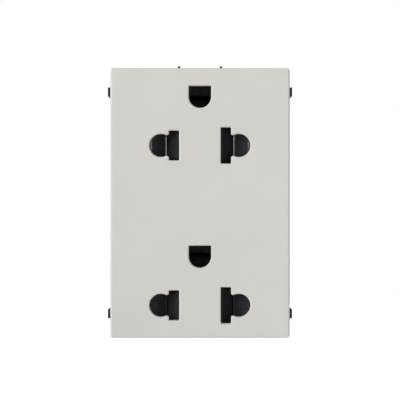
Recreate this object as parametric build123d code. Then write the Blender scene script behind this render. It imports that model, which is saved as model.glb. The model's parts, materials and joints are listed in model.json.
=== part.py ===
from build123d import *
import os

# Duplex wall socket insert, millimetres. X runs right, Y runs into the wall, Z runs up.
# The origin is the middle of the face plate, on the plane of its rear rim, where the insert meets its frame.

# Face plate
FACE_W = 43.84
FACE_H = 65.92
FACE_DEPTH = 8.5
FACE_WALL = 2.3
SKIRT_WALL = 1.5
FACE_CORNER_R = 0.7
FACE_EDGE_R = 0.5
RIM_R = 0.35
SNAP_PROUD = 0.4
SNAP_LEN = 8.0
SNAP_INSET = 16.96
SNAP_RISE = 1.0

# Plug layout, the same for both outlets
OUTLET_TOP = 18.91
OUTLET_FOOT = 7.95
BLADE_X = 6.35
PIN_X = 9.5
EARTH_RISE = 11.9
SLOT_W = 2.5
LINE_SLOT_H = 7.29
NEUTRAL_SLOT_H = 8.86
SLOT_CORNER_R = 0.2
PIN_HOLE_D = 5.65
NECK_R = 0.5
EARTH_W = 5.45
EARTH_TOP = 2.67
EARTH_CORNER_R = 0.25
PIN_REACH = 21.4

# Clearances
FACE_FIT = 0.15
SLIDE_FIT = 0.15
SEAT_FIT = 0.15
THREAD_FIT = 0.03
PASSAGE_FIT = 0.3
END_FIT = 0.1

# Housing
BODY_INSET = 0.72
BODY_DEPTH = 18.0
BODY_CORNER_R = 1.0
DECK_T = 1.5
WALL = 1.2
SIDE_WALL = 1.6

# Snap ears and locating ribs
EAR_PROUD = 1.13
EAR_INSET = 5.46
EAR_H = 2.8
EAR_FRONT = 2.3
EAR_LAND = 0.8
EAR_RAMP = 3.4
EAR_BEVEL = 0.6
TONGUE_LEN = 12.4
TONGUE_SLOT = 0.6
TONGUE_GAP = 1.0
RIB_X = 5.25
RIB_W = 0.62
RIB_RISE = 1.95
RIB_RUN = 6.5

# Shutters and their springs
SHUTTER_T = 3.2
SHUTTER_NOSE_T = 0.8
SEAM_X = 8.16
SEAM_GAP = 0.3
SEAM_LAP = 0.45
NOSE_LAND = 0.3
OUTER_RIDGE_X = 11.78
OUTER_STEP_X = 12.6
OUTER_END_X = 14.5
INNER_RIDGE_X = 5.8
INNER_FALL = 0.3
INNER_END_X = 4.0
INNER_TRAVEL = 2.8
HEAD_H = 6.8
POCKET_H = 10.2
STOP_GAP = 0.4
POCKET_WALL = 1.07
SPRING_D = 2.0
SPRING_WIRE = 0.26
SPRING_BORE_D = 2.3
SPRING_SET_BACK = 0.15
OUTER_BORE = 2.5
INNER_BORE = 1.7
OUTER_TURNS = 4
INNER_TURNS = 6
CRADLE_H = 4.0

# Contact strips, folded from one gauge of sheet
STRIP_T = 0.6
BEND_R = 0.6
LEAF_H = 6.4
LEAF_TIP_GAP = 0.7
CLIP_IN_X = 5.2
CLIP_OUT_X = 12.2
BLADE_GAP = 1.2
PIN_GAP = 3.65
LEAF_FLARE = 0.75
PINCH_BACK = 3.4
LEAF_ROOT = 8.0
FLAP_Z = 4.7
FLAP_END_X = 10.4
CHAMBER_RISE = 4.1
BUS_W = 4.4
EARTH_STRIP_W = 6.0
EARTH_STRIP_WIDE = 8.8
EARTH_LEAF_W = 5.3
EARTH_LEG_W = 3.4
EARTH_PINCH = 0.55
EARTH_LEAF_ROOT = 3.05
EARTH_LEG_DROP = 2.95
EARTH_WINDOW_H = 3.5

# Terminals
EARTH_TERM_RISE = 6.65
TAB_X = 14.8
TAB_H = 8.4
TAB_DEPTH = 7.2
CLAMP_T = 1.0
CLAMP_H = 8.2
CLAMP_LIP = 1.2
GROOVE = 0.3
SCREW_D = 3.4
SCREW_LEN = 6.6
SCREW_HEAD_D = 6.4
SCREW_HEAD_T = 1.6
SCREW_SLOT_W = 0.9
SCREW_SLOT_T = 0.8
TERM_OPEN = 2.2
BAY_H = 8.8
WIRE_HOLE_D = 2.5
WIRE_OUT = 2.85
ARM_H = 5.4

# Rear cover and its screws
COVER_T = 2.4
COVER_EDGE_R = 0.6
JOINT_BEVEL = 0.35
PAD_T = 1.1
PAD_EDGE = 1.4
PAD_BEVEL = 0.35
COVER_SCREW_X = 15.8
COVER_SCREW_INSET = 4.56
COVER_SCREW_D = 2.6
COVER_SCREW_LEN = 9.0
COVER_HEAD_D = 5.2
COVER_HEAD_T = 1.3
POST_W = 3.0

# Planes along Y that follow from the sizes above
FRONT = -FACE_DEPTH
FACE_BACK = FRONT + FACE_WALL
DECK = FACE_BACK + SHUTTER_T + 2 * SLIDE_FIT
CHAMBER = DECK + DECK_T
LEAF_TIP = CHAMBER + LEAF_TIP_GAP
SPINE = FRONT + PIN_REACH + SEAT_FIT
SPINE_BACK = SPINE + STRIP_T
TERM_Y = SPINE_BACK - TAB_DEPTH / 2
COVER_BACK = BODY_DEPTH + COVER_T

# Heights that follow from the sizes above
UPPER_Z = FACE_H / 2 - OUTLET_TOP
LOWER_Z = OUTLET_FOOT - FACE_H / 2
EAR_Z = FACE_H / 2 - EAR_INSET
SNAP_Z = FACE_H / 2 - SNAP_INSET
COVER_SCREW_Z = FACE_H / 2 - COVER_SCREW_INSET
POLE_TERM_Z = (UPPER_Z + LOWER_Z) / 2
EARTH_TERM_Z = UPPER_Z + EARTH_TERM_RISE

# Outlines that follow from the sizes above
FRONT_W = FACE_W - 2 * (SKIRT_WALL + FACE_FIT)
FRONT_H = FACE_H - 2 * (SKIRT_WALL + FACE_FIT)
BODY_W = FACE_W - 2 * BODY_INSET
BODY_H = FACE_H - 2 * BODY_INSET
OUTLETS = {"upper": UPPER_Z, "lower": LOWER_Z}
SIDES = {"left": -1, "right": 1}
HEAD_CLEAR_H = HEAD_H + 2 * SLIDE_FIT
SHUTTER_H = POCKET_H - 2 * SLIDE_FIT
SPRING_Y = FACE_BACK + SLIDE_FIT + SHUTTER_T / 2 + SPRING_SET_BACK
POCKET_END_X = FRONT_W / 2 - POCKET_WALL
CRADLE_W = 2 * (INNER_END_X - INNER_TRAVEL - STOP_GAP)
OUTER_NOSE_X = SEAM_X + END_FIT / 2
INNER_NOSE_X = OUTER_NOSE_X - SEAM_GAP
TAB_OUT_X = TAB_X + STRIP_T / 2
BAY_X = TAB_X - BEND_R - SEAT_FIT
WIRE_X = TAB_OUT_X + TERM_OPEN / 2


def block(x, y, z):
    """A box between the given low and high values along each axis."""
    size = [v[1] - v[0] for v in (x, y, z)]
    middle = [(v[0] + v[1]) / 2 for v in (x, y, z)]
    return Pos(*middle) * Box(*size)


def rect(x, z):
    """A rectangle in the front view, between low and high X and low and high Z."""
    return Pos((x[0] + x[1]) / 2, (z[0] + z[1]) / 2) * Rectangle(x[1] - x[0], z[1] - z[0])


def along_y(sketch, y):
    """Extrude a front-view sketch between two depths."""
    plane = Plane(origin=(0, y[0], 0), x_dir=(1, 0, 0), z_dir=(0, -1, 0))
    return extrude(plane * sketch, amount=y[1] - y[0], dir=(0, 1, 0))


def along_z(sketch, z):
    """Extrude a top-view sketch between two heights."""
    return extrude(Pos(0, 0, z[0]) * sketch, amount=z[1] - z[0], dir=(0, 0, 1))


def along_x(sketch, x):
    """Extrude a side-view sketch, drawn in Y and Z, between two X values."""
    return extrude(Plane.YZ.offset(x[0]) * sketch, amount=x[1] - x[0], dir=(1, 0, 0))


def rod_x(x, radius, y, z):
    """A round bar or bore along X."""
    return along_x(Pos(y, z) * Circle(radius), x)


def rod_y(y, radius, x, z):
    """A round bar or bore along Y."""
    return along_y(Pos(x, z) * Circle(radius), y)


def on_side(shape, sign):
    """The shape itself on the right side, or its mirror image on the left."""
    return shape if sign > 0 else mirror(shape, about=Plane.YZ)


def folded(*points):
    """A strip of sheet seen edge on, along a bent centre line."""
    return trace(FilletPolyline(*points, radius=BEND_R), line_width=STRIP_T)


def pole_opening(slot_h, grow=0.0):
    """Round hole joined to an upright slot, with the two cusps between them rounded, on the right side."""
    slot = Pos(BLADE_X, 0) * RectangleRounded(SLOT_W, slot_h, SLOT_CORNER_R)
    shape = slot + Pos(PIN_X, 0) * Circle(PIN_HOLE_D / 2)
    edge = BLADE_X + SLOT_W / 2
    cusps = [v for v in shape.vertices() if abs(v.X - edge) < 0.01 and abs(v.Y) < PIN_HOLE_D / 2]
    shape = fillet(cusps, NECK_R)
    return offset(shape, grow) if grow else shape


def earth_opening(grow=0.0):
    """Flat top and half-round bottom, about the earth pin's centre."""
    r = EARTH_W / 2 + grow
    top = EARTH_TOP + grow
    shape = Circle(r) & rect((-r, r), (-r, 0))
    shape += rect((-r, r), (0, top))
    corners = [v for v in shape.vertices() if abs(v.Y - top) < 0.01 and abs(v.X) > r / 2]
    return fillet(corners, EARTH_CORNER_R)


def openings(grow=0.0):
    """All six plug openings in the front view."""
    shapes = []
    for z in OUTLETS.values():
        shapes.append(Pos(0, z) * mirror(pole_opening(LINE_SLOT_H, grow), about=Plane.YZ))
        shapes.append(Pos(0, z) * pole_opening(NEUTRAL_SLOT_H, grow))
        shapes.append(Pos(0, z + EARTH_RISE) * earth_opening(grow))
    return shapes


def snap_ridge(grow=0.0):
    """Wedge along Z inside the skirt's right side, low at the rear so that it rides over the housing."""
    x = FACE_W / 2 - SKIRT_WALL
    proud = SNAP_PROUD + grow
    wedge = Polygon(
        (x + WALL / 2, -SNAP_RISE + grow),
        (x, -SNAP_RISE + grow),
        (x - proud, -2 * SNAP_RISE),
        (x - proud, -2.5 * SNAP_RISE - grow),
        (x + WALL / 2, -2.5 * SNAP_RISE - grow),
        align=None,
    )
    half = SNAP_LEN / 2 + grow
    ridge = along_z(wedge, (-half, half))
    return [Pos(0, 0, z) * on_side(ridge, s) for z in (-SNAP_Z, SNAP_Z) for s in SIDES.values()]


def make_face_plate():
    plate = along_y(RectangleRounded(FACE_W, FACE_H, FACE_CORNER_R), (FRONT, 0))
    plate = fillet(plate.faces().sort_by(Axis.Y)[0].edges(), FACE_EDGE_R)
    inner_w = FACE_W - 2 * SKIRT_WALL
    inner_h = FACE_H - 2 * SKIRT_WALL
    plate -= along_y(Rectangle(inner_w, inner_h), (FACE_BACK, 0))
    for opening in openings():
        plate -= along_y(opening, (FRONT, FACE_BACK))
    front = plate.faces().sort_by(Axis.Y)[0]
    plate = fillet([e for w in front.inner_wires() for e in w.edges()], RIM_R)
    for ridge in snap_ridge():
        plate += ridge
    return plate


def shutter_pocket():
    """Front view of one outlet's pocket: it narrows at four rails that guide the shutters and stop them."""
    shape = Rectangle(2 * POCKET_END_X, POCKET_H)
    rail_h = (POCKET_H - HEAD_CLEAR_H) / 2
    for sx in SIDES.values():
        for sz in (-1, 1):
            x0 = SEAM_X
            x1 = OUTER_STEP_X - END_FIT
            rail = Pos(sx * (x0 + x1) / 2, sz * (POCKET_H - rail_h) / 2) * Rectangle(x1 - x0, rail_h)
            shape -= rail
    return shape


def cradle():
    """Saddle in the middle of a pocket that keeps the spring between the inner shutters straight."""
    half = CRADLE_W / 2
    saddle = block((-half, half), (SPRING_Y, DECK), (-CRADLE_H / 2, CRADLE_H / 2))
    return saddle - rod_x((-half, half), SPRING_BORE_D / 2, SPRING_Y, 0)


def pole_clip_chamber(z):
    """Front view of the space around one pole clip, on the right side."""
    x0 = CLIP_IN_X - LEAF_FLARE - STRIP_T / 2 - SEAT_FIT
    x1 = CLIP_OUT_X + STRIP_T / 2 + LEAF_FLARE
    return rect((x0, x1), (z - FLAP_Z - STRIP_T / 2 - SEAT_FIT, z + CHAMBER_RISE))


def pole_strip_outline(grow=0.0):
    """Front view of a pole strip's flat back, on the right: two clip bases, the bus, the terminal arm."""
    x1 = CLIP_OUT_X + STRIP_T / 2
    x0 = x1 - BUS_W
    low = OUTLETS["lower"]
    shape = rect((x0 - grow, x1 + grow), (low, UPPER_Z))
    half = TAB_H / 2 + grow
    shape += rect((x0, TAB_OUT_X + grow), (POLE_TERM_Z - half, POLE_TERM_Z + half))
    for z in (low, UPPER_Z):
        base = rect(
            (CLIP_IN_X - STRIP_T / 2 - grow, x1 + grow),
            (z - FLAP_Z - STRIP_T / 2 - grow, z + LEAF_H / 2 + grow),
        )
        shape += base
    return shape


def earth_strip_outline(grow=0.0):
    """Front view of the earth strip's flat back, with its wide middle and the arm to its terminal."""
    half = EARTH_STRIP_W / 2 + grow
    low = OUTLETS["lower"] + EARTH_RISE
    top = UPPER_Z + EARTH_RISE + EARTH_LEAF_ROOT + STRIP_T / 2
    shape = rect((-half, half), (low - EARTH_LEG_DROP - STRIP_T / 2 - grow, top + grow))
    wide = EARTH_STRIP_WIDE / 2 + grow
    root = low + EARTH_LEAF_ROOT
    shape += rect((-wide, wide), (root - grow, root + lance_len() + WALL + grow))
    for z in OUTLETS.values():
        e = z + EARTH_RISE
        span = (e - EARTH_LEG_DROP + BEND_R - grow, e + EARTH_LEAF_ROOT - BEND_R + grow)
        shape += rect((-wide, wide), span)
    arm_top = EARTH_TERM_Z + TAB_H / 2
    shape += rect((0, TAB_OUT_X + grow), (arm_top - ARM_H - grow, arm_top + grow))
    return shape


def lance_len():
    """Length of the tongue that is cut out of the earth strip and bent forward."""
    return SPINE - LEAF_TIP + STRIP_T


def bay(term_z):
    """Space around a terminal on the right side, open at the side and at the rear."""
    half = BAY_H / 2
    y0 = SPINE_BACK - TAB_DEPTH - CLAMP_T - 2 * SEAT_FIT
    space = block((BAY_X, BODY_W / 2 + 1), (y0, BODY_DEPTH), (term_z - half, term_z + half))
    tip = TAB_OUT_X + CLAMP_T - SCREW_LEN - PASSAGE_FIT
    return space + rod_x((tip, BAY_X + 1), SCREW_D / 2 + PASSAGE_FIT, TERM_Y, term_z)


def ear(z_sign):
    """Snap ear on the right side: flat catch towards the front, ramp behind it, inner end bevelled."""
    x0 = BODY_W / 2 - SIDE_WALL / 2
    tip = FACE_W / 2 + EAR_PROUD
    side = Polygon(
        (x0, EAR_FRONT),
        (tip, EAR_FRONT),
        (tip, EAR_FRONT + EAR_LAND),
        (BODY_W / 2, EAR_FRONT + EAR_LAND + EAR_RAMP),
        (x0, EAR_FRONT + EAR_LAND + EAR_RAMP),
        align=None,
    )
    z0 = EAR_Z - EAR_H / 2
    z1 = EAR_Z + EAR_H / 2
    front = Polygon(
        (x0, z0),
        (tip - EAR_BEVEL, z0),
        (tip, z0 + EAR_BEVEL),
        (tip, z1),
        (x0, z1),
        align=None,
    )
    hook = along_z(side, (z0, z1)) & along_y(front, (EAR_FRONT, EAR_FRONT + EAR_LAND + EAR_RAMP))
    return hook if z_sign > 0 else mirror(hook, about=Plane.XY)


def tongue_cut(z_sign):
    """Slots that free the ear's tongue from the right wall, and the room behind it to bend into."""
    z0 = EAR_Z - EAR_H / 2
    z1 = EAR_Z + EAR_H / 2
    x0 = BODY_W / 2 - SIDE_WALL - TONGUE_GAP
    x1 = BODY_W / 2 - SIDE_WALL
    y0 = EAR_FRONT - 2 * TONGUE_SLOT
    y1 = y0 + TONGUE_SLOT + TONGUE_LEN
    outer = BODY_W / 2 + 1
    span = (z0 - TONGUE_SLOT, z1 + TONGUE_SLOT)
    cut = block((x0, x1), (y0, BODY_DEPTH), span)
    cut += block((x0, outer), (y0, y0 + TONGUE_SLOT), span)
    for z in (z0 - TONGUE_SLOT, z1):
        cut += block((x0, outer), (y0, y1), (z, z + TONGUE_SLOT))
    return cut if z_sign > 0 else mirror(cut, about=Plane.XY)


def rib():
    """Thin locating rib on the top wall, ramped towards the rear."""
    base = BODY_H / 2
    side = Polygon(
        (EAR_FRONT, base - SIDE_WALL / 2),
        (EAR_FRONT, base + RIB_RISE),
        (EAR_FRONT + RIB_RUN / 3, base + RIB_RISE),
        (EAR_FRONT + RIB_RUN, base),
        (EAR_FRONT + RIB_RUN, base - SIDE_WALL / 2),
        align=None,
    )
    return along_x(side, (RIB_X - RIB_W / 2, RIB_X + RIB_W / 2))


def front_recess(z0, z1, collar_z):
    """Front view of a coring recess beside the shutter pockets, round the collar of an earth passage."""
    half = FRONT_W / 2 - WALL
    collar = EARTH_W / 2 + PASSAGE_FIT + WALL
    return rect((-half, half), (z0, z1)) - Pos(0, collar_z) * Rectangle(2 * collar, 2 * collar)


def side_core(sign, z0, z1):
    """Coring pocket from the rear between the contact chambers and one side wall."""
    x0 = BAY_X
    x1 = BODY_W / 2 - SIDE_WALL
    return on_side(block((x0, x1), (CHAMBER + DECK_T, BODY_DEPTH), (z0, z1)), sign)


def make_housing():
    low = OUTLETS["lower"]
    body = along_y(RectangleRounded(BODY_W, BODY_H, BODY_CORNER_R), (0, BODY_DEPTH))
    body += along_y(Rectangle(FRONT_W, FRONT_H), (FACE_BACK, 0))

    for z in OUTLETS.values():
        body -= along_y(Pos(0, z) * shutter_pocket(), (FACE_BACK, DECK))
        body += Pos(0, 0, z) * cradle()
    pocket_top = UPPER_Z + POCKET_H / 2 + WALL
    between = (low + POCKET_H / 2 + WALL, UPPER_Z - POCKET_H / 2 - WALL)
    body -= along_y(front_recess(pocket_top, FRONT_H / 2 - WALL, UPPER_Z + EARTH_RISE), (FACE_BACK, DECK))
    body -= along_y(front_recess(*between, low + EARTH_RISE), (FACE_BACK, DECK))
    for opening in openings(PASSAGE_FIT):
        body -= along_y(opening, (FACE_BACK, CHAMBER))

    for s in SIDES.values():
        for z in OUTLETS.values():
            body -= on_side(along_y(pole_clip_chamber(z), (CHAMBER, BODY_DEPTH)), s)
        body -= on_side(along_y(pole_strip_outline(SEAT_FIT), (SPINE, BODY_DEPTH)), s)
        body -= on_side(bay(POLE_TERM_Z), s)
    half = EARTH_LEAF_W / 2 + SEAT_FIT
    for z in OUTLETS.values():
        e = z + EARTH_RISE
        drop = EARTH_LEG_DROP + STRIP_T / 2 + LEAF_FLARE
        rise = EARTH_LEAF_ROOT + STRIP_T / 2 + SEAT_FIT
        body -= along_y(rect((-half, half), (e - drop, e + rise)), (CHAMBER, BODY_DEPTH))
    body -= along_y(earth_strip_outline(SEAT_FIT), (SPINE, BODY_DEPTH))
    body -= bay(EARTH_TERM_Z)

    bay_lo = POLE_TERM_Z - BAY_H / 2 - WALL
    bay_hi = POLE_TERM_Z + BAY_H / 2 + WALL
    boss = COVER_HEAD_D / 2
    ear_lo = min(COVER_SCREW_Z - boss, EAR_Z - EAR_H / 2 - TONGUE_SLOT) - WALL
    body -= side_core(-1, -ear_lo, bay_lo)
    body -= side_core(1, -ear_lo, bay_lo)
    body -= side_core(-1, bay_hi, ear_lo)
    body -= side_core(1, bay_hi, EARTH_TERM_Z - BAY_H / 2 - WALL)

    for s in SIDES.values():
        for sz in (-1, 1):
            body -= on_side(tongue_cut(sz), s)
            body += on_side(ear(sz), s)
            pilot = (BODY_DEPTH - COVER_SCREW_LEN, BODY_DEPTH)
            body -= rod_y(pilot, COVER_SCREW_D / 2 + THREAD_FIT, s * COVER_SCREW_X, sz * COVER_SCREW_Z)
        body += on_side(rib(), s)
    for groove in snap_ridge(SEAT_FIT):
        body -= groove
    return body


def outer_shutter():
    """Right-hand shutter behind the round hole: a ramp that a pin wedges outwards, a taller spring seat.

    Its nose is undercut, so that the slanted nose of the inner shutter laps behind it.
    """
    back = DECK - SLIDE_FIT
    front = back - SHUTTER_T
    nose = back - SHUTTER_NOSE_T
    profile = Polygon(
        (OUTER_NOSE_X + SEAM_LAP, back),
        (OUTER_NOSE_X, nose),
        (OUTER_NOSE_X + NOSE_LAND, nose),
        (OUTER_RIDGE_X, front),
        (OUTER_END_X, front),
        (OUTER_END_X, back),
        align=None,
    )
    shape = along_z(profile, (-SHUTTER_H / 2, SHUTTER_H / 2))
    for sz in (-1, 1):
        z = sorted((sz * HEAD_H / 2, sz * SHUTTER_H))
        shape -= block((OUTER_NOSE_X - 1, OUTER_STEP_X), (front - 1, back + 1), z)
    return shape - rod_x((OUTER_END_X - OUTER_BORE, OUTER_END_X), SPRING_BORE_D / 2, SPRING_Y, 0)


def inner_shutter():
    """Right-hand shutter behind the slot: a ramp that a blade wedges inwards, with a back that falls away.

    Its slanted nose laps behind the outer shutter's, and its shoulders above and below stop against the rails.
    """
    back = DECK - SLIDE_FIT
    front = back - SHUTTER_T
    nose = back - SHUTTER_NOSE_T
    profile = Polygon(
        (INNER_NOSE_X + SEAM_LAP, back),
        (INNER_NOSE_X, nose),
        (INNER_RIDGE_X, front),
        (INNER_END_X, front + INNER_FALL),
        (INNER_END_X, back),
        align=None,
    )
    shape = along_z(profile, (-SHUTTER_H / 2, SHUTTER_H / 2))
    for sz in (-1, 1):
        z = sorted((sz * HEAD_H / 2, sz * SHUTTER_H))
        shape -= block((SEAM_X - END_FIT, OUTER_STEP_X), (front - 1, back + 1), z)
    return shape - rod_x((INNER_END_X, INNER_END_X + INNER_BORE), SPRING_BORE_D / 2, SPRING_Y, 0)


def spring(x0, x1, turns):
    """Coil of square wire along X, just clear of its two seats."""
    length = x1 - x0 - SPRING_WIRE - 2 * END_FIT
    path = Helix(length / turns, length, (SPRING_D - SPRING_WIRE) / 2)
    section = Plane(origin=path @ 0, x_dir=(1, 0, 0), z_dir=path % 0) * Rectangle(SPRING_WIRE, SPRING_WIRE)
    coil = sweep(section, path=path, is_frenet=True)
    return Pos(x0 + SPRING_WIRE / 2 + END_FIT, SPRING_Y, 0) * Rot(0, 90, 0) * coil


def terminal_tab(term_z, arm_h):
    """Right-hand terminal tab, bent forward from its arm along the arm's height, with the screw's hole."""
    start = BAY_X - WALL
    y = SPINE + STRIP_T / 2
    top = term_z + TAB_H / 2
    front = SPINE_BACK - TAB_DEPTH
    bend = folded((start, y), (TAB_X, y), (TAB_X, front))
    tab = along_z(bend, (top - arm_h, top))
    tab += block((TAB_X - STRIP_T / 2, TAB_OUT_X), (front, SPINE - BEND_R), (top - TAB_H, top))
    return tab - rod_x((TAB_X - 1, TAB_X + 1), SCREW_D / 2 + THREAD_FIT, TERM_Y, term_z)


def pole_clip(z):
    """Right-hand clip: two outer leaves and their base in one U, and a middle leaf hung from a side flap.

    A blade goes between the inner and the middle leaf, a round pin between the middle and the outer leaf.
    """
    y = SPINE + STRIP_T / 2
    mid_x = BLADE_X + BLADE_GAP / 2 + STRIP_T / 2
    pinch_in = mid_x - BLADE_GAP - STRIP_T
    pinch_out = mid_x + PIN_GAP + STRIP_T
    pinch_y = LEAF_TIP + PINCH_BACK
    root_y = LEAF_TIP + LEAF_ROOT
    line = folded(
        (pinch_in - LEAF_FLARE, LEAF_TIP),
        (pinch_in, pinch_y),
        (CLIP_IN_X, root_y),
        (CLIP_IN_X, y),
        (CLIP_OUT_X, y),
        (CLIP_OUT_X, root_y),
        (pinch_out, pinch_y),
        (pinch_out + LEAF_FLARE, LEAF_TIP),
    )
    clip = along_z(line, (z - LEAF_H / 2, z + LEAF_H / 2))
    flap_z = z - FLAP_Z
    leaf = folded((FLAP_END_X, flap_z), (mid_x, flap_z), (mid_x, z + LEAF_H / 2))
    clip += along_y(leaf, (LEAF_TIP, SPINE - WALL))
    foot = rect((mid_x + 2 * BEND_R, FLAP_END_X), (flap_z - STRIP_T / 2, flap_z + STRIP_T / 2))
    clip += along_y(foot, (SPINE - WALL, SPINE_BACK))
    return clip


def pole_contact(sign):
    """Strip that feeds one pole of both outlets."""
    low = OUTLETS["lower"]
    flat = pole_strip_outline()
    corner = CLIP_OUT_X + STRIP_T / 2
    arm_x = BAY_X - WALL / 2
    flat -= rect((arm_x, TAB_OUT_X + 1), (POLE_TERM_Z - TAB_H, POLE_TERM_Z + TAB_H))
    for z in (low, UPPER_Z):
        for x0, x1 in ((0, CLIP_IN_X + BEND_R), (CLIP_OUT_X - BEND_R, corner + 1)):
            flat -= rect((x0, x1), (z - LEAF_H, z + LEAF_H / 2))
    strip = along_y(flat, (SPINE, SPINE_BACK))
    for z in (low, UPPER_Z):
        strip += pole_clip(z)
    strip += terminal_tab(POLE_TERM_Z, TAB_H)
    return on_side(strip, sign)


def make_earth_contact():
    """Strip along the middle: over each earth pin a sprung leaf, under it a leg, behind it a window."""
    low = OUTLETS["lower"] + EARTH_RISE
    high = UPPER_Z + EARTH_RISE
    flat = earth_strip_outline()
    leaf_half = EARTH_LEAF_W / 2
    leg_half = EARTH_LEG_W / 2
    reach = lance_len()
    window = leaf_half + SEAT_FIT
    flat -= rect((-window, window), (low + EARTH_LEAF_ROOT - STRIP_T / 2, low + EARTH_LEAF_ROOT + reach))
    window = leg_half + SEAT_FIT
    flat -= rect((-window, window), (high - EARTH_LEG_DROP - reach, high - EARTH_LEG_DROP + STRIP_T / 2))
    for e in (low, high):
        flat -= rect((-EARTH_W / 2, EARTH_W / 2), (e - EARTH_WINDOW_H / 2, e + EARTH_WINDOW_H / 2))
    top = high + EARTH_LEAF_ROOT - BEND_R
    flat -= rect((-EARTH_STRIP_W, EARTH_STRIP_W), (top, top + WALL))
    bottom = low - EARTH_LEG_DROP + BEND_R
    flat -= rect((-EARTH_STRIP_W, EARTH_STRIP_W), (bottom - WALL, bottom))
    flat -= rect((BAY_X - WALL / 2, TAB_OUT_X + 1), (EARTH_TERM_Z - TAB_H, EARTH_TERM_Z + TAB_H))
    strip = along_y(flat, (SPINE, SPINE_BACK))

    y = SPINE + STRIP_T / 2
    for e in (low, high):
        root = e + EARTH_LEAF_ROOT
        start = root - 2 * BEND_R
        pinch = e + EARTH_PINCH + STRIP_T / 2
        leaf = folded(
            (y, start),
            (y, root),
            (LEAF_TIP + LEAF_ROOT, root),
            (LEAF_TIP + PINCH_BACK / 2, pinch),
            (LEAF_TIP, root),
        )
        strip += along_x(leaf, (-leaf_half, leaf_half))
        foot = e - EARTH_LEG_DROP
        leg = folded(
            (y, foot + 2 * BEND_R),
            (y, foot),
            (LEAF_TIP + PINCH_BACK / 2, foot),
            (LEAF_TIP, foot - LEAF_FLARE / 2),
        )
        strip += along_x(leg, (-leg_half, leg_half))
    strip += terminal_tab(EARTH_TERM_Z, ARM_H)
    return strip


def wire_clamp(term_z):
    """Right-hand clamp plate outside the tab, with a lip over the tab's front edge and two wire grooves."""
    x0 = TAB_OUT_X
    x1 = x0 + CLAMP_T
    y1 = SPINE_BACK - BEND_R
    y0 = SPINE_BACK - TAB_DEPTH - SEAT_FIT - CLAMP_T
    half = CLAMP_H / 2
    profile = Polygon(
        (x1, y1),
        (x0, y1),
        (x0, y0 + CLAMP_T),
        (x0 - CLAMP_LIP + STRIP_T, y0 + CLAMP_T),
        (x0 - CLAMP_LIP + STRIP_T, y0),
        (x1, y0),
        align=None,
    )
    plate = along_z(profile, (term_z - half, term_z + half))
    plate -= rod_x((x0 - 1, x1 + 1), SCREW_D / 2 + SEAT_FIT, TERM_Y, term_z)
    for s in (-1, 1):
        z = term_z + s * WIRE_OUT
        groove = Polygon(
            (x0 - GROOVE, z - 2 * GROOVE),
            (x0 + GROOVE, z),
            (x0 - GROOVE, z + 2 * GROOVE),
            align=None,
        )
        plate -= along_y(groove, (y0 + CLAMP_T + GROOVE, y1 + 1))
    return plate


def terminal_screw(term_z):
    """Right-hand terminal screw, its slotted head on the clamp."""
    seat = TAB_OUT_X + CLAMP_T
    head = rod_x((seat, seat + SCREW_HEAD_T), SCREW_HEAD_D / 2, TERM_Y, term_z)
    head = fillet(head.edges().sort_by(Axis.X)[-1], SCREW_HEAD_T / 4)
    screw = head + rod_x((seat - SCREW_LEN, seat), SCREW_D / 2, TERM_Y, term_z)
    top = seat + SCREW_HEAD_T
    half = SCREW_SLOT_W / 2
    slot_y = (TERM_Y - half, TERM_Y + half)
    slot = block((top - SCREW_SLOT_T, top + 1), slot_y, (term_z - SCREW_HEAD_D, term_z + SCREW_HEAD_D))
    return screw - slot


def cover_screw_places():
    return [(s * COVER_SCREW_X, sz * COVER_SCREW_Z) for s in SIDES.values() for sz in (-1, 1)]


def terminals():
    """Side and height of each terminal, by name."""
    return {"line": (-1, POLE_TERM_Z), "neutral": (1, POLE_TERM_Z), "earth": (1, EARTH_TERM_Z)}


def make_rear_cover():
    cover = along_y(RectangleRounded(BODY_W, BODY_H, BODY_CORNER_R), (BODY_DEPTH, COVER_BACK))
    cover = chamfer(cover.faces().sort_by(Axis.Y)[0].edges(), JOINT_BEVEL)
    cover = fillet(cover.faces().sort_by(Axis.Y)[-1].edges(), COVER_EDGE_R)
    wire_r = WIRE_HOLE_D / 2
    for sign, z in terminals().values():
        outline = RectangleRounded(WIRE_HOLE_D + 2 * PAD_EDGE, BAY_H, WIRE_HOLE_D / 2)
        pad = along_y(Pos(sign * WIRE_X, z) * outline, (COVER_BACK - WALL, COVER_BACK + PAD_T))
        cover += chamfer(pad.faces().sort_by(Axis.Y)[-1].edges(), PAD_BEVEL)
        for s in (-1, 1):
            cover -= rod_y((BODY_DEPTH, COVER_BACK + PAD_T), wire_r, sign * WIRE_X, z + s * WIRE_OUT)
    bus_x = CLIP_OUT_X + STRIP_T / 2 - BUS_W / 2
    bay_edge = BAY_H / 2 + POST_W
    posts = [(s * bus_x, POLE_TERM_Z + sz * bay_edge) for s in SIDES.values() for sz in (-1, 1)]
    posts.append((0, (OUTLETS["lower"] + UPPER_Z) / 2 + EARTH_RISE))
    for x, z in posts:
        cover += along_y(Pos(x, z) * Rectangle(POST_W, POST_W), (SPINE_BACK, BODY_DEPTH + WALL))
    for x, z in cover_screw_places():
        cover -= rod_y((BODY_DEPTH, COVER_BACK), COVER_SCREW_D / 2 + SEAT_FIT, x, z)
        cover -= rod_y((COVER_BACK - COVER_HEAD_T, COVER_BACK), COVER_HEAD_D / 2 + SEAT_FIT, x, z)
    return cover


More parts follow.
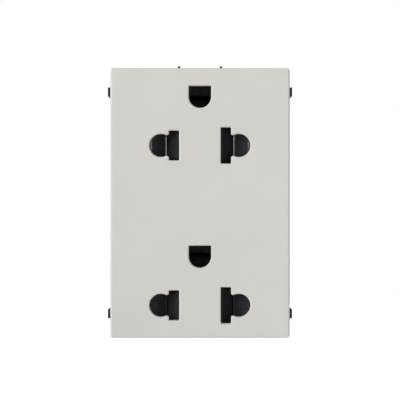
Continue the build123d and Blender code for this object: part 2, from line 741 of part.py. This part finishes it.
def make_cover_screws():
    seat = COVER_BACK - COVER_HEAD_T
    screws = []
    for x, z in cover_screw_places():
        shank = rod_y((seat - COVER_SCREW_LEN, seat), COVER_SCREW_D / 2, x, z)
        head = rod_y((seat, COVER_BACK), COVER_HEAD_D / 2, x, z)
        head = fillet(head.edges().sort_by(Axis.Y)[-1], COVER_HEAD_T / 4)
        half = SCREW_SLOT_W / 2
        slot_y = (COVER_BACK - SCREW_SLOT_T, COVER_BACK + 1)
        slot = block((x - COVER_HEAD_D, x + COVER_HEAD_D), slot_y, (z - half, z + half))
        screws.append(shank + head - slot)
    return screws


def build():
    nodes = {
        "face_plate": make_face_plate(),
        "housing": make_housing(),
        "rear_cover": make_rear_cover(),
        "cover_screws": Compound(children=[s.solid() for s in make_cover_screws()]),
        "line_contact": pole_contact(-1),
        "neutral_contact": pole_contact(1),
        "earth_contact": make_earth_contact(),
    }
    for name, (sign, z) in terminals().items():
        nodes[f"{name}_clamp"] = on_side(wire_clamp(z), sign)
        nodes[f"{name}_screw"] = on_side(terminal_screw(z), sign)
    inner_seat = INNER_END_X + INNER_BORE
    outer_seat = OUTER_END_X - OUTER_BORE
    for outlet, z in OUTLETS.items():
        place = Pos(0, 0, z)
        for side, sign in SIDES.items():
            nodes[f"{outlet}_{side}_outer_shutter"] = place * on_side(outer_shutter(), sign)
            nodes[f"{outlet}_{side}_inner_shutter"] = place * on_side(inner_shutter(), sign)
            coil = spring(outer_seat, POCKET_END_X, OUTER_TURNS)
            nodes[f"{outlet}_{side}_spring"] = place * on_side(coil, sign)
        nodes[f"{outlet}_middle_spring"] = place * spring(-inner_seat, inner_seat, INNER_TURNS)
    return nodes


os.makedirs("parts", exist_ok=True)
for node, shape in build().items():
    export_step(shape, f"parts/{node}.step")
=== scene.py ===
"""Duplex wall socket insert: finishes, coil springs, threaded screws, terminal marks, light and camera.

Lengths are in metres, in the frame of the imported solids: X right, Y into the wall, Z up.
"""

import json

import bpy
import numpy as np
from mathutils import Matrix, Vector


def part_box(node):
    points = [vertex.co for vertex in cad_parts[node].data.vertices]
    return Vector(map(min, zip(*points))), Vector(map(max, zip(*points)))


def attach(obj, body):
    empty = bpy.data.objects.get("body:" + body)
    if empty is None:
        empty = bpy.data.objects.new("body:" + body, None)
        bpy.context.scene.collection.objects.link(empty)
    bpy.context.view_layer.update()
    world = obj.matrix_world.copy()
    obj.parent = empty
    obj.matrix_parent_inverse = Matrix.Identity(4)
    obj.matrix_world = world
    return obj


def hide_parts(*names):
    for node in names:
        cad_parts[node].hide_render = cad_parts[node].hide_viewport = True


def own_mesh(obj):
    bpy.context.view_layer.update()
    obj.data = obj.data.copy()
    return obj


MM = 0.001

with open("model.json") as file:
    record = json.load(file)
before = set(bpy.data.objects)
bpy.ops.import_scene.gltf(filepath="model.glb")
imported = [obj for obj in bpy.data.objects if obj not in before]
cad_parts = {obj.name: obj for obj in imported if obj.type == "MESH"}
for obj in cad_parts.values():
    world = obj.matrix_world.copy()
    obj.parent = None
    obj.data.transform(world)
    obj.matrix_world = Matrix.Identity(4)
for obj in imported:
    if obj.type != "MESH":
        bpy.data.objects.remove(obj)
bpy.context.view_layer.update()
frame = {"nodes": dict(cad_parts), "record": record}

# Camera: straight on, on the photograph's scale at the front face
FACE_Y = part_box("face_plate")[0][1]
CAMERA_AWAY = 420 * MM
CAMERA_RISE = 0.725 * MM
PICTURE_W = 97.6 * MM
SENSOR_W = 36.0
NEAREST_SEEN = 10 * MM

# Light: an even surround, a broad key from the left, a fill from behind on the right, a small lamp over the lens
SURROUND = 0.39
KEY_FROM = (-0.75, -0.62, 0.24)
KEY_STRENGTH = 2.2
KEY_SPREAD = 0.8
FILL_FROM = (0.42, 0.77, 0.48)
FILL_STRENGTH = 1.9
FILL_SPREAD = 0.6
SUN_AWAY = 500 * MM
LENS_LAMP_POWER = 0.085
LENS_LAMP_W = 60 * MM
LENS_LAMP_H = 16 * MM
LENS_LAMP_RISE = 27.5 * MM

# Floor: a round white board below the insert, lifted towards white for the camera
FLOOR_Z = -60 * MM
FLOOR_R = 600 * MM
FLOOR_HUB_R = 1 * MM
FLOOR_LIFT = 0.47

# Terminal screws
THREAD_PITCH = 0.6 * MM
THREAD_R = 1.68 * MM
THREAD_ROOT_R = 1.4 * MM
FLANK_GAIN = 1.25
ROOT_FLAT = 0.1
RUN_OUT = 0.5 * THREAD_PITCH
TIP_CHAMFER = 0.5 * MM
SHANK_LEN = 6.6 * MM
SHANK_SUNK = 0.2 * MM
RING_REACH = 1.1 * THREAD_R
SAME_PLANE = 0.001 * MM
MERGE_DIGITS = 7
SHARP_ANGLE = 0.6

# Shutter springs
WIRE_R = 0.14 * MM
COIL_R = 0.86 * MM
OUTER_TURNS = 5.5
MIDDLE_TURNS = 4.5
CLOSED_PITCH = 0.12
CLOSED_TURN = 0.4
OUTER_BORE = 2.5 * MM
INNER_BORE = 1.7 * MM
WALL_FIT = 0.1 * MM

# Terminal marks on the rear cover: strokes between points of a unit box, (to the reader's right, up)
MARK_W = 2.3 * MM
MARK_H = 3.2 * MM
MARK_IN = 5.6 * MM
MARK_PROUD = 0.22 * MM
STROKE_R = 0.27 * MM
CAP_ANGLE = 0.48 * np.pi
PAD_PROUD = 1.1 * MM
MARKS = {
    "line": [((0.0, 1.0), (0.0, 0.0)), ((0.0, 0.0), (0.8, 0.0))],
    "neutral": [((0.0, 0.0), (0.0, 1.0)), ((0.0, 1.0), (1.0, 0.0)), ((1.0, 0.0), (1.0, 1.0))],
    "earth": [
        ((0.5, 1.0), (0.5, 0.5)),
        ((-0.1, 0.5), (1.1, 0.5)),
        ((0.14, 0.25), (0.86, 0.25)),
        ((0.36, 0.0), (0.64, 0.0)),
    ],
}


def linear(colour):
    """sRGB hex to linear RGBA: each channel through the sRGB curve, a straight foot and then a 2.4 power."""
    srgb = np.array([int(colour[i:i + 2], 16) for i in (1, 3, 5)]) / 255
    flat = np.where(srgb <= 0.04045, srgb / 12.92, ((srgb + 0.055) / 1.055) ** 2.4)
    return (*flat.tolist(), 1.0)


def add(tree, kind, inputs=None, stops=(), **settings):
    """Add one shader node.

    Settings are its properties, inputs its values or the sockets linked to it, and stops a ramp's places and
    hex colours.
    """
    made = tree.nodes.new(kind)
    for number, (where, colour) in enumerate(stops):
        made.color_ramp.elements[number].position = where
        made.color_ramp.elements[number].color = linear(colour)
    for name, value in settings.items():
        setattr(made, name, value)
    for name, value in (inputs or {}).items():
        if isinstance(value, bpy.types.NodeSocket):
            tree.links.new(value, made.inputs[name])
        else:
            made.inputs[name].default_value = value
    return made


def start_material(name):
    """An empty material with its object coordinates and its output."""
    material = bpy.data.materials.new(name)
    material.use_nodes = True
    tree = material.node_tree
    tree.nodes.clear()
    place = add(tree, "ShaderNodeTexCoord").outputs["Object"]
    out = add(tree, "ShaderNodeOutputMaterial")
    return material, tree, place, out


def warm_grey_pbt():
    """PBT, moulded against a spark-eroded die: satin, with fine even pits and hardly any drift of colour."""
    material, tree, place, out = start_material("warm_grey_pbt")
    drift = add(tree, "ShaderNodeTexNoise", {"Vector": place, "Scale": 1 / (14 * MM), "Detail": 2.0})
    shades = [(0.3, "#D2CFCA"), (0.7, "#D5D2CD")]
    colour = add(tree, "ShaderNodeValToRGB", {"Fac": drift.outputs["Fac"]}, shades)
    # The real pits are about 0.03 mm; they are drawn at 0.12 mm so that they show at all.
    pits = add(tree, "ShaderNodeTexNoise", {"Vector": place, "Scale": 1 / (0.12 * MM), "Detail": 1.0})
    bump = add(tree, "ShaderNodeBump", {
        "Height": pits.outputs["Fac"], "Strength": 0.12, "Distance": 0.01 * MM,
    })
    skin = add(tree, "ShaderNodeBsdfPrincipled", {
        "Base Color": colour.outputs["Color"],
        "Roughness": 0.42,
        "IOR": 1.5,
        "Specular IOR Level": 0.2,
        "Normal": bump.outputs["Normal"],
    })
    tree.links.new(skin.outputs["BSDF"], out.inputs["Surface"])
    return material


def black_glass_filled_nylon():
    """Glass-filled nylon, moulded: deep black with a slightly mottled, half-dull skin where fibres reach it."""
    material, tree, place, out = start_material("black_glass_filled_nylon")
    fibre = add(tree, "ShaderNodeTexNoise", {"Vector": place, "Scale": 1 / (0.5 * MM), "Detail": 4.0})
    shades = [(0.35, "#141517"), (0.75, "#202123")]
    colour = add(tree, "ShaderNodeValToRGB", {"Fac": fibre.outputs["Fac"]}, shades)
    rough = add(tree, "ShaderNodeMapRange", {
        "Value": fibre.outputs["Fac"], "From Min": 0.3, "From Max": 0.7, "To Min": 0.42, "To Max": 0.58,
    })
    bump = add(tree, "ShaderNodeBump", {
        "Height": fibre.outputs["Fac"], "Strength": 0.15, "Distance": 0.02 * MM,
    })
    skin = add(tree, "ShaderNodeBsdfPrincipled", {
        "Base Color": colour.outputs["Color"],
        "Roughness": rough.outputs["Result"],
        "IOR": 1.53,
        "Specular IOR Level": 0.15,
        "Normal": bump.outputs["Normal"],
    })
    tree.links.new(skin.outputs["BSDF"], out.inputs["Surface"])
    return material


def black_acetal():
    """Acetal, moulded against polished steel so that the shutters slide: black, smooth and fairly glossy.

    Close to a wall or a seam, ambient occlusion darkens the colour to nearly black, a painted shade, and makes the
    skin duller.
    """
    material, tree, place, out = start_material("black_acetal")
    flow = add(tree, "ShaderNodeTexNoise", {"Vector": place, "Scale": 1 / (1.6 * MM), "Detail": 2.0})
    shades = [(0.35, "#2A2C2E"), (0.7, "#303234")]
    acetal_tone = add(tree, "ShaderNodeValToRGB", {"Fac": flow.outputs["Fac"]}, shades)
    # Painted shade: ambient occlusion darkens the colour near walls and seams, and raises the roughness there.
    open_air = add(tree, "ShaderNodeAmbientOcclusion", {"Distance": 0.8 * MM}, samples=8)
    shades = [(0.5, "#404040"), (0.72, "#FFFFFF")]
    corner = add(tree, "ShaderNodeValToRGB", {"Fac": open_air.outputs["AO"]}, shades)
    colour = add(tree, "ShaderNodeMixRGB", {
        "Fac": 1.0, "Color1": acetal_tone.outputs["Color"], "Color2": corner.outputs["Color"],
    }, blend_type="MULTIPLY")
    rough = add(tree, "ShaderNodeMapRange", {
        "Value": open_air.outputs["AO"], "From Min": 0.5, "From Max": 0.72, "To Min": 0.5, "To Max": 0.1,
    })
    skin = add(tree, "ShaderNodeBsdfPrincipled", {
        "Base Color": colour.outputs["Color"],
        "Roughness": rough.outputs["Result"],
        "IOR": 1.48,
        "Specular IOR Level": 0.12,
    })
    tree.links.new(skin.outputs["BSDF"], out.inputs["Surface"])
    return material


def phosphor_bronze():
    """Phosphor bronze strip, rolled and stamped: reddish gold with fine rolling lines, dulled in patches."""
    material, tree, place, out = start_material("phosphor_bronze")
    stretch = add(tree, "ShaderNodeMapping", {"Vector": place, "Scale": (1.0, 1.0, 0.04)})
    lines = add(tree, "ShaderNodeTexNoise", {
        "Vector": stretch.outputs["Vector"], "Scale": 1 / (0.15 * MM), "Detail": 2.0,
    })
    dull = add(tree, "ShaderNodeTexNoise", {"Vector": place, "Scale": 1 / (4 * MM), "Detail": 3.0})
    shades = [(0.35, "#9C744B"), (0.7, "#B08757")]
    colour = add(tree, "ShaderNodeValToRGB", {"Fac": dull.outputs["Fac"]}, shades)
    rough = add(tree, "ShaderNodeMapRange", {
        "Value": dull.outputs["Fac"], "From Min": 0.3, "From Max": 0.7, "To Min": 0.55, "To Max": 0.42,
    })
    bump = add(tree, "ShaderNodeBump", {
        "Height": lines.outputs["Fac"], "Strength": 0.2, "Distance": 0.01 * MM,
    })
    skin = add(tree, "ShaderNodeBsdfPrincipled", {
        "Base Color": colour.outputs["Color"],
        "Metallic": 1.0,
        "Roughness": rough.outputs["Result"],
        "Normal": bump.outputs["Normal"],
    })
    tree.links.new(skin.outputs["BSDF"], out.inputs["Surface"])
    return material


def dull_tin_plate():
    """Tin on bronze strip, matt bath: rough and without a mirror, its neutral grey darker than bare tin as a
    painted shade so that a deep hole keeps it dark.
    """
    material, tree, place, out = start_material("dull_tin_plate")
    bath = add(tree, "ShaderNodeTexNoise", {"Vector": place, "Scale": 1 / (2.5 * MM), "Detail": 3.0})
    # Painted shade: this grey is darker than bare tin so that the contact stays dark deep in its hole.
    shades = [(0.35, "#5E5F5F"), (0.7, "#6B6C6B")]
    colour = add(tree, "ShaderNodeValToRGB", {"Fac": bath.outputs["Fac"]}, shades)
    rough = add(tree, "ShaderNodeMapRange", {
        "Value": bath.outputs["Fac"], "From Min": 0.3, "From Max": 0.7, "To Min": 0.9, "To Max": 0.8,
    })
    skin = add(tree, "ShaderNodeBsdfPrincipled", {
        "Base Color": colour.outputs["Color"],
        "Metallic": 1.0,
        "Roughness": rough.outputs["Result"],
    })
    tree.links.new(skin.outputs["BSDF"], out.inputs["Surface"])
    return material


def zinc_plated_steel():
    """Zinc plate on headed steel: cool grey with a frosted, uneven film, darkened by ambient occlusion deep in
    slots and threads as a painted shade.
    """
    material, tree, place, out = start_material("zinc_plated_steel")
    film = add(tree, "ShaderNodeTexNoise", {"Vector": place, "Scale": 1 / (1.5 * MM), "Detail": 4.0})
    shades = [(0.35, "#A2A5A6"), (0.7, "#C4C4BE")]
    bright = add(tree, "ShaderNodeValToRGB", {"Fac": film.outputs["Fac"]}, shades)
    # Painted shade: ambient occlusion darkens the colour deep in slots and threads.
    open_air = add(tree, "ShaderNodeAmbientOcclusion", {"Distance": 0.9 * MM}, samples=8)
    shades = [(0.25, "#4A4946"), (0.8, "#FFFFFF")]
    painted_slot_shade = add(tree, "ShaderNodeValToRGB", {"Fac": open_air.outputs["AO"]}, shades)
    colour = add(tree, "ShaderNodeMixRGB", {
        "Fac": 1.0, "Color1": bright.outputs["Color"], "Color2": painted_slot_shade.outputs["Color"],
    }, blend_type="MULTIPLY")
    frost = add(tree, "ShaderNodeTexNoise", {"Vector": place, "Scale": 1 / (0.2 * MM), "Detail": 2.0})
    rough = add(tree, "ShaderNodeMapRange", {
        "Value": frost.outputs["Fac"], "From Min": 0.3, "From Max": 0.7, "To Min": 0.26, "To Max": 0.42,
    })
    bump = add(tree, "ShaderNodeBump", {
        "Height": frost.outputs["Fac"], "Strength": 0.12, "Distance": 0.01 * MM,
    })
    skin = add(tree, "ShaderNodeBsdfPrincipled", {
        "Base Color": colour.outputs["Color"],
        "Metallic": 1.0,
        "Roughness": rough.outputs["Result"],
        "Normal": bump.outputs["Normal"],
    })
    tree.links.new(skin.outputs["BSDF"], out.inputs["Surface"])
    return material


def drawn_spring_wire():
    """Stainless wire, drawn and coiled: smooth grey with a light straw tint left from stress relief."""
    material, tree, place, out = start_material("drawn_spring_wire")
    tint = add(tree, "ShaderNodeTexNoise", {"Vector": place, "Scale": 1 / (1.2 * MM), "Detail": 2.0})
    shades = [(0.35, "#9C9C9B"), (0.7, "#ADA898")]
    colour = add(tree, "ShaderNodeValToRGB", {"Fac": tint.outputs["Fac"]}, shades)
    skin = add(tree, "ShaderNodeBsdfPrincipled", {
        "Base Color": colour.outputs["Color"],
        "Metallic": 1.0,
        "Roughness": 0.3,
    })
    tree.links.new(skin.outputs["BSDF"], out.inputs["Surface"])
    return material


def new_piece(name, corners, faces, material):
    """A smooth shaded mesh object at the origin, from an array of corners and a list of faces."""
    mesh = bpy.data.meshes.new(name)
    mesh.from_pydata(corners.tolist(), [], faces)
    mesh.shade_smooth()
    mesh.materials.append(material)
    piece = bpy.data.objects.new(name, mesh)
    bpy.context.collection.objects.link(piece)
    return piece


def grid_faces(rows, columns):
    """Quads of a grid that closes on itself along its columns, as a list of corner numbers."""
    i, j = np.meshgrid(np.arange(rows - 1), np.arange(columns), indexing="ij")
    k = (j + 1) % columns
    quads = [i * columns + j, i * columns + k, (i + 1) * columns + k, (i + 1) * columns + j]
    return np.stack(quads, -1).reshape(-1, 4).tolist()


def tube_faces(rows, columns):
    """Quads of such a grid as a closed tube, with a flat face over each end."""
    first = list(range(columns))[::-1]
    last = list(range((rows - 1) * columns, rows * columns))
    return grid_faces(rows, columns) + [first, last]


def joined(shells):
    """Several shells as one: their corners in a row, and each shell's faces numbered on from the last."""
    starts = np.cumsum([0] + [len(corners) for corners, _ in shells]).tolist()
    faces = [[i + start for i in face] for start, (_, own) in zip(starts, shells) for face in own]
    return np.concatenate([corners for corners, _ in shells]), faces


def coil(x0, x1, turns, dead, steps=28, around=10):
    """Round wire wound about X between two flat seats, as a grid of (along the wire, round the wire).

    The centre line is (rise, COIL_R cos a, COIL_R sin a). The rise is the running sum of the pitch. For
    CLOSED_TURN at a dead end the pitch is CLOSED_PITCH of the full one, so that the wire lies close to its seat,
    and over the next turn it grows to the full one. Each ring stands across the wire.
    """
    lean = np.linspace(0, 1, int(turns * steps) + 1)
    angle = 2 * np.pi * turns * lean
    turn = lean * turns
    pitch = np.ones_like(turn)
    for end, distance in zip(dead, (turn, turns - turn)):
        if end:
            pitch *= CLOSED_PITCH + (1 - CLOSED_PITCH) * np.clip(distance - CLOSED_TURN, 0, 1)
    rise = np.concatenate([[0], np.cumsum((pitch[1:] + pitch[:-1]) / 2)])
    low = x0 + (WIRE_R if dead[0] else 0)
    high = x1 - (WIRE_R if dead[1] else 0)
    x = low + (high - low) * rise / rise[-1]
    line = np.stack([x, COIL_R * np.cos(angle), COIL_R * np.sin(angle)], -1)
    along = np.gradient(line, axis=0)
    along /= np.linalg.norm(along, axis=1, keepdims=True)
    out = np.stack([np.zeros_like(x), np.cos(angle), np.sin(angle)], -1)
    side = np.cross(along, out)
    ring = np.linspace(0, 2 * np.pi, around, endpoint=False)[:, None]
    corners = line[:, None] + WIRE_R * (np.cos(ring) * out[:, None] + np.sin(ring) * side[:, None])
    return corners.reshape(-1, 3), tube_faces(len(x), around)


def make_coil(name, node, sign, ends, turns, dead, wire):
    """Coil on one side of the middle that stands for a spring, drawn at rest and fixed to the insert."""
    low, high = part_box(node)
    _, y, z = (np.array(low) + np.array(high)) / 2
    corners, faces = coil(*ends, turns, dead)
    corners = corners * np.array([sign, 1, sign]) + np.array([0, y, z])
    piece = new_piece(name, corners, faces, wire)
    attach(piece, "insert")
    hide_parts(node)
    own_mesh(piece)


def make_outer_spring(outlet, side, sign, wire):
    """Spring between an outer shutter's bore and the pocket's end wall."""
    node = f"{outlet}_{side}_spring"
    shutter = f"{outlet}_{side}_outer_shutter"
    seat = max(abs(corner[0]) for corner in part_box(shutter)) - OUTER_BORE
    wall = max(abs(corner[0]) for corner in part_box(node)) + WALL_FIT
    make_coil(
        f"{outlet}_{side}_coil", node, sign,
        (seat, wall), OUTER_TURNS, (True, True), wire,
    )


def make_middle_spring(outlet, side, sign, wire):
    """Half of the spring between two inner shutters, which in the real insert shortens towards the middle as its
    shutter moves in; here it is drawn at rest.
    """
    shutter = f"{outlet}_{side}_inner_shutter"
    seat = min(abs(corner[0]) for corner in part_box(shutter)) + INNER_BORE
    make_coil(
        f"{outlet}_middle_coil_{side}", f"{outlet}_middle_spring", sign,
        (0.0, seat), MIDDLE_TURNS, (False, True), wire,
    )


def threaded_shank(length, around=40, per_turn=12):
    """Right-hand thread as a grid of (along the screw, round it), from its chamfered tip into its head.

    The radius is the root plus a triangle wave, cut flat at root and crest, of the distance in pitches less the
    turn. It is held under a 45 degree cone at the tip and grows to the full radius at the head.
    """
    s = np.linspace(0, length, int(length / THREAD_PITCH * per_turn) + 1)[:, None]
    a = np.linspace(0, 2 * np.pi, around, endpoint=False)
    phase = s / THREAD_PITCH - a / (2 * np.pi)
    wave = np.abs(2 * (phase % 1) - 1)
    crest = np.clip(FLANK_GAIN * wave - ROOT_FLAT, 0, 1)
    crest = np.maximum(crest, np.clip(1 - (length - s) / RUN_OUT, 0, 1))
    r = THREAD_ROOT_R + (THREAD_R - THREAD_ROOT_R) * crest
    r = np.minimum(r, THREAD_R - TIP_CHAMFER + s)
    corners = np.stack([np.broadcast_to(s, r.shape), r * np.cos(a), r * np.sin(a)], -1)
    return corners.reshape(-1, 3), tube_faces(len(s), around)


def make_terminal_screw(name, zinc):
    """Headed, slotted screw: the head is a copy of the solid's faces beyond its seat, the shank is threaded.

    A disc over the ring of points where the solid's plain shank began closes the head.
    """
    solid = frame["nodes"][name].data
    points = np.empty(len(solid.vertices) * 3)
    solid.vertices.foreach_get("co", points)
    solid.calc_loop_triangles()
    triangles = np.empty(len(solid.loop_triangles) * 3, int)
    solid.loop_triangles.foreach_get("vertices", triangles)
    low, high = (np.array(corner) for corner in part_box(name))
    sign = 1 if low[0] > 0 else -1
    middle = (low + high) / 2
    tip = min(abs(low[0]), abs(high[0]))
    seat = tip + SHANK_LEN
    head = points.reshape(-1, 3)[triangles.reshape(-1, 3)]
    head = head[(np.abs(head[:, :, 0]) > seat - SAME_PLANE).all(1)]
    head, numbers = np.unique(head.reshape(-1, 3).round(MERGE_DIGITS), axis=0, return_inverse=True)
    y, z = (head - middle)[:, 1:].T
    ring = np.flatnonzero((np.abs(head[:, 0]) < seat + SAME_PLANE) & (np.hypot(y, z) < RING_REACH))
    ring = ring[np.argsort(np.arctan2(z, y)[ring])][::-sign]
    shank, shank_faces = threaded_shank(SHANK_LEN + SHANK_SUNK)
    shank = shank * np.array([sign, 1, sign]) + np.array([sign * tip, middle[1], middle[2]])
    head_faces = numbers.reshape(-1, 3).tolist() + [ring.tolist()]
    corners, faces = joined([(head, head_faces), (shank, shank_faces)])
    piece = new_piece(f"{name}_threaded", corners, faces, zinc)
    piece.data.set_sharp_from_angle(angle=SHARP_ANGLE)
    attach(piece, name)
    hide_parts(name)


def raised_stroke(start, end, cap=9, around=24):
    """Moulded bar from one point to another, as a grid of (along the bar, round it), in (right, up, proud).

    The half-width is STROKE_R along the bar and follows a half circle at each end. Each ring is a rounded box,
    whose width and height go with the square root of the cosine and sine, and its lower half is sunk in the cover.
    """
    length = np.hypot(*(end - start))
    way = (end - start) / length
    bend = np.linspace(-CAP_ANGLE, 0, cap)
    along = np.concatenate([STROKE_R * np.sin(bend), length - STROKE_R * np.sin(bend[::-1])])[:, None]
    width = np.concatenate([np.cos(bend), np.cos(bend[::-1])])[:, None]
    a = np.linspace(0, 2 * np.pi, around, endpoint=False)
    across = STROKE_R * width * np.sign(np.cos(a)) * np.sqrt(np.abs(np.cos(a)))
    proud = MARK_PROUD * np.sqrt(width) * np.sign(np.sin(a)) * np.sqrt(np.abs(np.sin(a)))
    right = start[0] + along * way[0] - across * way[1]
    up = start[1] + along * way[1] + across * way[0]
    return np.stack([right, up, proud], -1).reshape(-1, 3), tube_faces(len(along), around)


def make_terminal_mark(terminal, strokes, nylon):
    """Sign beside a terminal's wire holes, on the side towards the cover's middle: L, N or the earth sign."""
    mounts = frame["record"]["mounts"]
    holes = [mount["pos_m"] for mount in mounts if mount["name"].startswith(f"{terminal}_wire")]
    x, _, z = np.mean(holes, axis=0)
    x -= np.sign(x) * MARK_IN
    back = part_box("rear_cover")[1][1] - PAD_PROUD
    points = (np.array(strokes) - 0.5) * np.array([MARK_W, MARK_H])
    corners, faces = joined([raised_stroke(start, end) for start, end in points])
    right, up, proud = corners.T
    corners = np.stack([x - right, back + proud, z + up], -1)
    piece = new_piece(f"{terminal}_mark", corners, faces, nylon)
    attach(piece, "insert")


def finish_solids(finishes):
    """Give each solid the finish of its record slot."""
    for part in frame["record"]["subparts"]:
        solid = frame["nodes"][part["node"]]
        solid.data.materials.clear()
        solid.data.materials.append(finishes[part["material_slot"]])


def white_studio_board():
    """White studio board: matt paint, lifted towards white for the camera so that only a real shadow shows."""
    material, tree, place, out = start_material("white_studio_board")
    grain = add(tree, "ShaderNodeTexNoise", {"Vector": place, "Scale": 1 / (3 * MM), "Detail": 2.0})
    shades = [(0.3, "#E6E6E5"), (0.7, "#E9E9E8")]
    colour = add(tree, "ShaderNodeValToRGB", {"Fac": grain.outputs["Fac"]}, shades)
    paint = add(tree, "ShaderNodeBsdfDiffuse", {"Color": colour.outputs["Color"]})
    seen = add(tree, "ShaderNodeLightPath")
    lift = add(tree, "ShaderNodeMath", {0: seen.outputs["Is Camera Ray"], 1: FLOOR_LIFT}, operation="MULTIPLY")
    glow = add(tree, "ShaderNodeEmission", {"Color": (1, 1, 1, 1), "Strength": lift.outputs["Value"]})
    both = add(tree, "ShaderNodeAddShader", {0: paint.outputs["BSDF"], 1: glow.outputs["Emission"]})
    tree.links.new(both.outputs["Shader"], out.inputs["Surface"])
    return material


def make_floor(rings=24, spokes=96):
    """Round board below the object, as a grid of (outwards, round): points at (r cos a, r sin a)."""
    r = np.linspace(FLOOR_HUB_R, FLOOR_R, rings)[:, None]
    a = np.linspace(0, 2 * np.pi, spokes, endpoint=False)
    corners = np.stack([r * np.cos(a), r * np.sin(a), np.full((rings, spokes), FLOOR_Z)], -1).reshape(-1, 3)
    hub = list(range(spokes))
    mesh = bpy.data.meshes.new("floor")
    mesh.from_pydata(corners.tolist(), [], grid_faces(rings, spokes) + [hub])
    mesh.materials.append(white_studio_board())
    floor = bpy.data.objects.new("floor", mesh)
    bpy.context.collection.objects.link(floor)


def make_world():
    """Even white surround: plain white to the camera and in reflections, lower as light."""
    world = bpy.data.worlds.new("white_surround")
    world.use_nodes = True
    tree = world.node_tree
    tree.nodes.clear()
    seen = add(tree, "ShaderNodeLightPath")
    direct = add(tree, "ShaderNodeMath", {
        0: seen.outputs["Is Camera Ray"], 1: seen.outputs["Is Transmission Ray"],
    }, operation="MAXIMUM")
    shown = add(tree, "ShaderNodeMath", {
        0: direct.outputs["Value"], 1: seen.outputs["Is Glossy Ray"],
    }, operation="MAXIMUM")
    level = add(tree, "ShaderNodeMapRange", {"Value": shown.outputs["Value"], "To Min": SURROUND, "To Max": 1.0})
    light = add(tree, "ShaderNodeBackground", {"Color": (1, 1, 1, 1), "Strength": level.outputs["Result"]})
    out = add(tree, "ShaderNodeOutputWorld")
    tree.links.new(light.outputs["Background"], out.inputs["Surface"])
    bpy.context.scene.world = world


def make_sun(name, towards, strength, spread):
    """Broad soft lamp that shines from the given direction."""
    lamp = bpy.data.lights.new(name, "SUN")
    lamp.energy = strength
    lamp.angle = spread
    sun = bpy.data.objects.new(name, lamp)
    way = np.array(towards) / np.linalg.norm(towards)
    sun.rotation_euler = (np.arccos(way[2]), 0, np.arctan2(way[0], -way[1]))
    sun.location = (way * SUN_AWAY).tolist()
    bpy.context.collection.objects.link(sun)


def make_lens_lamp():
    """Small soft box just above the lens, which glints on what faces the camera squarely in the upper outlet."""
    lamp = bpy.data.lights.new("lens_lamp", "AREA")
    lamp.shape = "RECTANGLE"
    lamp.size = LENS_LAMP_W
    lamp.size_y = LENS_LAMP_H
    lamp.energy = LENS_LAMP_POWER
    box = bpy.data.objects.new("lens_lamp", lamp)
    box.location = (0, FACE_Y - CAMERA_AWAY, CAMERA_RISE + LENS_LAMP_RISE)
    box.rotation_euler = (np.pi / 2, 0, 0)
    box.visible_camera = False
    bpy.context.collection.objects.link(box)


def make_camera():
    """Camera straight in front of the face, as far away as its long lens needs to take in PICTURE_W there."""
    lens = bpy.data.cameras.new("camera")
    lens.sensor_width = SENSOR_W
    lens.lens = SENSOR_W * CAMERA_AWAY / PICTURE_W
    lens.clip_start = NEAREST_SEEN
    camera = bpy.data.objects.new("camera", lens)
    camera.location = (0, FACE_Y - CAMERA_AWAY, CAMERA_RISE)
    camera.rotation_euler = (np.pi / 2, 0, 0)
    bpy.context.collection.objects.link(camera)
    bpy.context.scene.camera = camera


nylon = black_glass_filled_nylon()
zinc = zinc_plated_steel()
wire = drawn_spring_wire()
finish_solids({
    "face_plastic": warm_grey_pbt(),
    "body_plastic": nylon,
    "shutter_plastic": black_acetal(),
    "contact_brass": phosphor_bronze(),
    "contact_tinned": dull_tin_plate(),
    "screw_steel": zinc,
    "spring_steel": wire,
})
for outlet in ("upper", "lower"):
    for side, sign in (("left", -1), ("right", 1)):
        make_outer_spring(outlet, side, sign, wire)
        make_middle_spring(outlet, side, sign, wire)
for terminal, strokes in MARKS.items():
    make_terminal_screw(f"{terminal}_screw", zinc)
    make_terminal_mark(terminal, strokes, nylon)

make_floor()
make_world()
make_sun("key", KEY_FROM, KEY_STRENGTH, KEY_SPREAD)
make_sun("rear_fill", FILL_FROM, FILL_STRENGTH, FILL_SPREAD)
make_lens_lamp()
make_camera()
bpy.context.scene.view_settings.view_transform = "Standard"
